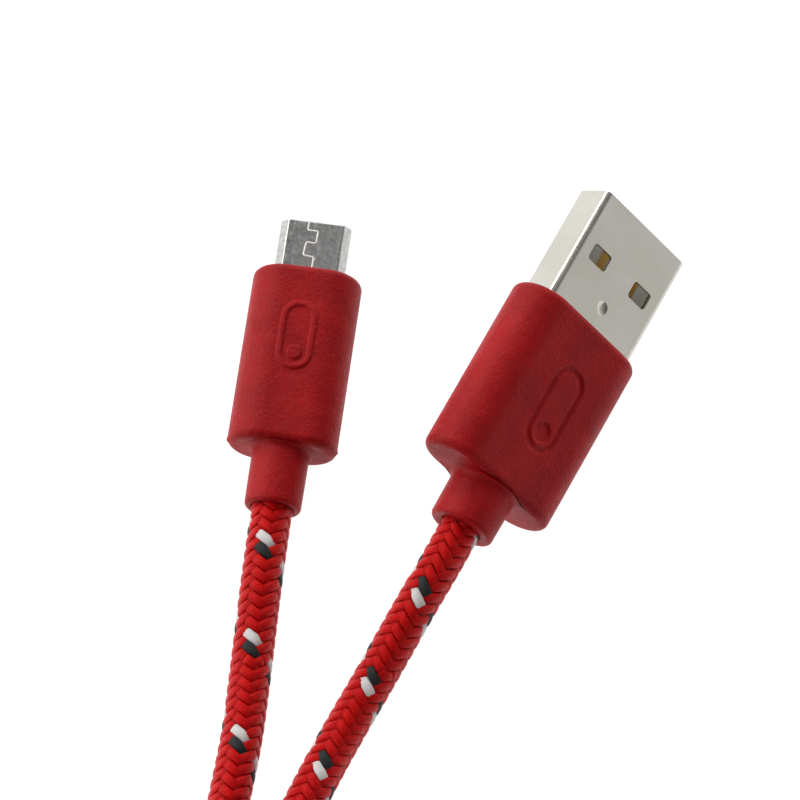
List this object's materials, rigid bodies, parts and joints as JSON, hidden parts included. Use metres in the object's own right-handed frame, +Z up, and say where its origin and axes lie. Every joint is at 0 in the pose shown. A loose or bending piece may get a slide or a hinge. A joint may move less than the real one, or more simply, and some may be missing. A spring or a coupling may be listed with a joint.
{
  "type": "charging cable",
  "caption": "Braided charging cable with a type A plug and a micro B plug, its spare length tied in a round coil.",
  "frame": {"origin": "on the table, under the middle of the box round the two plugs", "axes": "+Z up from the table; +X across the two plugs, which lie side by side, the micro B plug on the -X side; +Y the way their noses point, on the whole"},
  "size_m": [0.0588, 0.1314, 0.0128],
  "materials": {
    "moulding": "matte moulded thermoplastic elastomer, dull red",
    "cord": "braided polyester sleeve, bright red with one white and one black strand",
    "strap": "woven hook-and-loop strap, black",
    "shell": "nickel plating over drawn sheet, satin",
    "micro_shell": "stainless sheet, satin",
    "insulator": "glass-filled moulding, pale grey",
    "tongue": "glass-filled moulding, black",
    "contact": "gold flash over phosphor bronze",
    "spring_steel": "bright spring steel",
    "inner_mould": "low-pressure moulded polyethylene, off-white",
    "wire_red": "extruded insulation, red",
    "wire_white": "extruded insulation, white",
    "wire_green": "extruded insulation, green",
    "wire_black": "extruded insulation, black",
    "solder": "solder, satin"
  },
  "bodies": {
    "cord": {"cord_coil": "cord", "coil_strap": "strap", "cord_usb_a_side": "cord", "cord_micro_b_side": "cord"},
    "usb_a_plug": {"usb_a_moulding": "moulding", "usb_a_inner_mould": "inner_mould", "usb_a_cord_end": "cord", "usb_a_shell": "shell", "usb_a_insulator": "insulator", "usb_a_contact_power": "contact", "usb_a_contact_data_minus": "contact", "usb_a_contact_data_plus": "contact", "usb_a_contact_ground": "contact", "usb_a_wire_red": "wire_red", "usb_a_wire_white": "wire_white", "usb_a_wire_green": "wire_green", "usb_a_wire_black": "wire_black", "usb_a_solder": "solder"},
    "micro_b_plug": {"micro_b_moulding": "moulding", "micro_b_inner_mould": "inner_mould", "micro_b_cord_end": "cord", "micro_b_shell": "micro_shell", "micro_b_insulator": "tongue", "micro_b_contact_tails": "contact", "micro_b_wire_red": "wire_red", "micro_b_wire_white": "wire_white", "micro_b_wire_green": "wire_green", "micro_b_wire_black": "wire_black", "micro_b_solder": "solder"},
    "contact_spring_1": {"micro_b_contact_1": "contact"},
    "contact_spring_2": {"micro_b_contact_2": "contact"},
    "contact_spring_3": {"micro_b_contact_3": "contact"},
    "contact_spring_4": {"micro_b_contact_4": "contact"},
    "contact_spring_5": {"micro_b_contact_5": "contact"},
    "latch_left": {"micro_b_latch_left": "spring_steel"},
    "latch_right": {"micro_b_latch_right": "spring_steel"}
  },
  "joints": [
    {"name": "usb_a_flex", "type": "hinge", "parent": "cord", "child": "usb_a_plug", "pos_m": [-0.0039, -0.023, 0.0054], "axis": [0, 0, 1], "range_deg": [-20, 20], "stiffness_Nm_per_rad": 0.004, "deforming": ["cord_usb_a_side"]},
    {"name": "micro_b_flex", "type": "hinge", "parent": "cord", "child": "micro_b_plug", "pos_m": [-0.0186, -0.021, 0.003], "axis": [0, 0, 1], "range_deg": [-20, 20], "stiffness_Nm_per_rad": 0.004, "deforming": ["cord_micro_b_side"]},
    {"name": "contact_1_press", "type": "hinge", "parent": "micro_b_plug", "child": "contact_spring_1", "pos_m": [-0.016, 0.0081, 0.00313], "axis": [-0.9907, 0.1357, 0], "range_deg": [0, 1.8], "stiffness_Nm_per_rad": 0.03},
    {"name": "contact_2_press", "type": "hinge", "parent": "micro_b_plug", "child": "contact_spring_2", "pos_m": [-0.01535, 0.00802, 0.00313], "axis": [-0.9907, 0.1357, 0], "range_deg": [0, 1.8], "stiffness_Nm_per_rad": 0.03},
    {"name": "contact_3_press", "type": "hinge", "parent": "micro_b_plug", "child": "contact_spring_3", "pos_m": [-0.01471, 0.00793, 0.00313], "axis": [-0.9907, 0.1357, 0], "range_deg": [0, 1.8], "stiffness_Nm_per_rad": 0.03},
    {"name": "contact_4_press", "type": "hinge", "parent": "micro_b_plug", "child": "contact_spring_4", "pos_m": [-0.01406, 0.00784, 0.00313], "axis": [-0.9907, 0.1357, 0], "range_deg": [0, 1.8], "stiffness_Nm_per_rad": 0.03},
    {"name": "contact_5_press", "type": "hinge", "parent": "micro_b_plug", "child": "contact_spring_5", "pos_m": [-0.01342, 0.00775, 0.00313], "axis": [-0.9907, 0.1357, 0], "range_deg": [0, 1.8], "stiffness_Nm_per_rad": 0.03},
    {"name": "latch_left_press", "type": "hinge", "parent": "micro_b_plug", "child": "latch_left", "pos_m": [-0.01723, 0.00827, 0.0031], "axis": [0.9907, -0.1357, 0], "range_deg": [0, 3], "stiffness_Nm_per_rad": 0.03},
    {"name": "latch_right_press", "type": "hinge", "parent": "micro_b_plug", "child": "latch_right", "pos_m": [-0.01218, 0.00758, 0.0031], "axis": [0.9907, -0.1357, 0], "range_deg": [0, 3], "stiffness_Nm_per_rad": 0.03}
  ]
}
